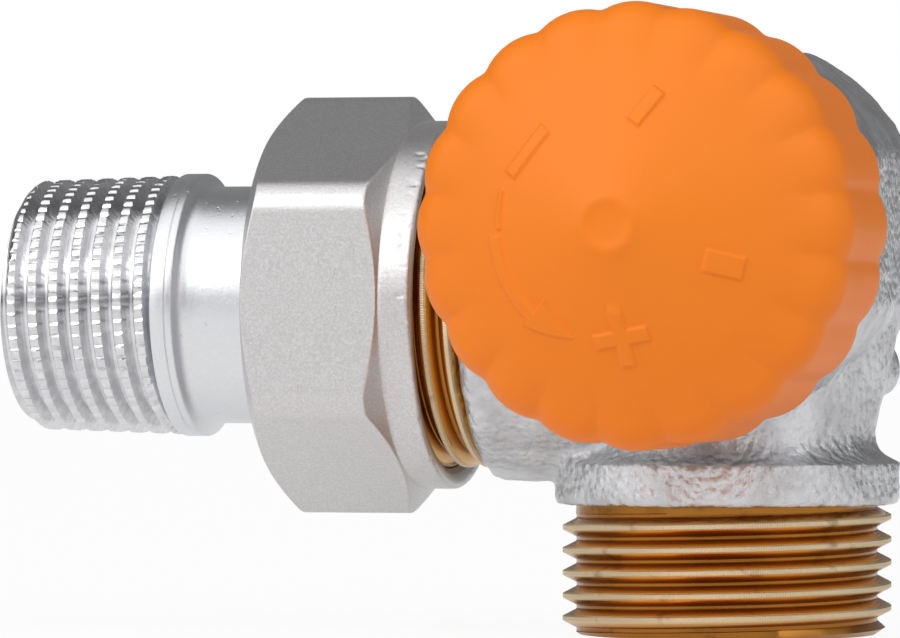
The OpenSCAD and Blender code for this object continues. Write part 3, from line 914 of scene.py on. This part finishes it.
tail_neck = as_object(wrap(tail_profile, TAIL_ROWS, 240), "tail_neck", union_axis)
smooth(tail_neck, 40)
finish_piece(tail_neck, "tail_set", neck_nickel, ["tailpiece"])

# %% [markdown]
# ## Hand cap
#
# The cap's section is a shallow cone over straight sides. Twenty finger hollows run up the
# sides and die away on the face. The face has a dimple where the plastic flowed in, and
# raised marks: an arrow, a plus, a minus and two plain bars.

# %% Section of the cap
SLOPE = math.radians(25)
MID_R = 17.12 - 3.5
MID_Y = 41.1 - 3.5 / math.cos(SLOPE) - MID_R * math.tan(SLOPE)
shoulder_end = (MID_R + 3.5 * math.cos(math.radians(65)), MID_Y + 3.5 * math.sin(math.radians(65)))


def face_height(radius):
    """Height of the cap's plain face at a radius from its axis."""
    t = (shoulder_end[0] - radius) / (shoulder_end[0] - 2.9)
    dome = 41.1 - radius * math.tan(SLOPE) + 4 * 0.35 * max(0.0, t * (1 - t))
    dimple = 40.0 + 0.45 * max(0.0, radius / 2.6) ** 3
    return soft_min(dome, dimple, 0.35) if radius < 4.5 else dome


cap_rows = [(0, 31.66), (4.0, 31.66), (4.2, 31.9), (4.2, 36.3), (5.0, 36.2), (12.6, 32.2), (15.02, 30.2), (15.02, 24), (15.02, 19.2), (15.3, 18.9)]
INNER_ROWS = len(cap_rows)
cap_rows += [(16.3, 18.9), (16.75, 18.9), (16.97, 19.0), (17.08, 19.2), (17.12, 19.5)]
cap_rows += [(17.12, y) for y in spread(20.5, MID_Y, 8)]
cap_rows += [(MID_R + 3.5 * math.cos(math.radians(a)), MID_Y + 3.5 * math.sin(math.radians(a))) for a in spread(4.5, 65, 15)]
cap_rows += [(r, face_height(r)) for r in spread(14.8, 11.3, 10)]
cap_rows += [(r, face_height(r)) for r in spread(11.2, 6.6, 52)]
cap_rows += [(r, face_height(r)) for r in spread(6.2, 3.6, 6) + spread(3.4, 0.0, 16)]


# %% Marks on the face
def near_bar(point, first, last, half):
    """How deep a point lies inside a straight bar with rounded ends, in millimetres."""
    along = last - first
    t = max(0.0, min(1.0, (point - first).dot(along) / along.length_squared))
    side = (point - first - along * t).length
    return half - side


def in_block(point, centre, turn, long_half, wide_half):
    """How deep a point lies inside a turned rectangle."""
    local = Matrix.Rotation(math.radians(-turn), 2) @ (point - centre)
    return min(long_half - abs(local.x), wide_half - abs(local.y))


def polar(radius, degrees):
    return Vector((radius * math.cos(math.radians(degrees)), radius * math.sin(math.radians(degrees))))


def in_arrow(point):
    """A curved shaft with a broad head."""
    radius = point.length
    turn = math.degrees(math.atan2(point.y, point.x)) % 360
    shaft = min(0.45 - abs(radius - 9.45), (turn - 185) * 0.16, (229 - turn) * 0.16)
    head_at = (turn - 226) / (249 - 226)
    head = min(1.35 * (1 - head_at) - abs(radius - 9.05), (turn - 226) * 0.16)
    tail = min(0.17 - abs(radius - 9.1 + (turn - 172) * 0.01), (turn - 163) * 0.16, (182 - turn) * 0.16)
    return max(shaft, head, tail)


def mark_height(x, y):
    """Height of the raised marks over the face at a point, in millimetres."""
    point = Vector((x, y))
    if not 6.3 < point.length < 11.3:
        return 0.0
    plus = polar(8.45, -86.6)
    inside = max(
        in_block(point, plus, 10, 2.15, 0.55), in_block(point, plus, 100, 2.15, 0.55),
        in_block(point, polar(8.84, -19.8), -14, 1.4, 0.85),
        in_block(point, Vector((2.3, 8.85)), 55, 1.5, 0.55),
        in_block(point, Vector((-6.75, 5.5)), 52, 2.2, 0.5),
        in_arrow(point),
    )
    t = max(0.0, min(1.0, inside / 0.22 + 0.5))
    return 0.22 * t * t * (3 - 2 * t)


# %% Cap skin
def lobe_hollow(angle):
    """Depth of the finger hollows: 0 on a crest, about half a millimetre between crests."""
    off = abs((math.degrees(angle) + 9) % 18 - 9)
    reach = 12.02 * math.cos(math.radians(off)) + math.sqrt(25 - (12.02 * math.sin(math.radians(off))) ** 2)
    return 17.12 + soft_min(-reach, -16.58, 0.16)


def cap_profile(row, angle):
    radius, height = cap_rows[row]
    if row < INNER_ROWS:
        return radius, height
    if height < 19.6 or row <= INNER_ROWS + 12:
        return radius - lobe_hollow(angle) * min(1.0, max(0.0, radius - 16.0)), height
    tilt = math.atan2(max(0.0, height - MID_Y), max(0.001, radius - MID_R)) if radius > shoulder_end[0] else math.radians(65)
    fade = max(0.0, min(1.0, (radius - 11.5) / (17.0 - 11.5)))
    depth = lobe_hollow(angle) * fade * fade * (3 - 2 * fade)
    mark = mark_height(radius * math.cos(angle), radius * math.sin(angle))
    return radius - depth * math.cos(tilt) + mark * math.sin(SLOPE), height - depth * math.sin(tilt) + mark * math.cos(SLOPE)


cap_skin = as_object(wrap(cap_profile, len(cap_rows), 720), "cap_skin", insert_axis)
smooth(cap_skin, 50)
finish_piece(cap_skin, "cap", cap_plastic, ["hand_cap"])

# %% [markdown]
# ## Finish the frame
#
# The other CAD nodes keep their shapes and get the finishes that their pieces have.

# %% Finishes on the CAD nodes that stay
stay = {
    "insert_housing": bare_brass, "setting_core": bare_brass, "gland_nut": bare_brass,
    "disc_carrier": bare_brass, "disc_nut": bare_brass,
    "core_clip": bright_steel, "spindle": bright_steel, "spindle_clip": bright_steel,
    "spring_plate": bright_steel, "return_spring": bright_steel,
    "tailpiece_seal": seal_rubber, "housing_seal": seal_rubber, "core_seal": seal_rubber,
    "gland_nut_seal": seal_rubber, "gland_seal": seal_rubber, "disc_seal": seal_rubber,
    "setting_sleeve": white_plastic, "setting_dial": white_plastic,
}
for name, finish in stay.items():
    for slot_ in nodes[name].material_slots:
        slot_.material = finish.owner
print("finished CAD nodes:", len(stay))
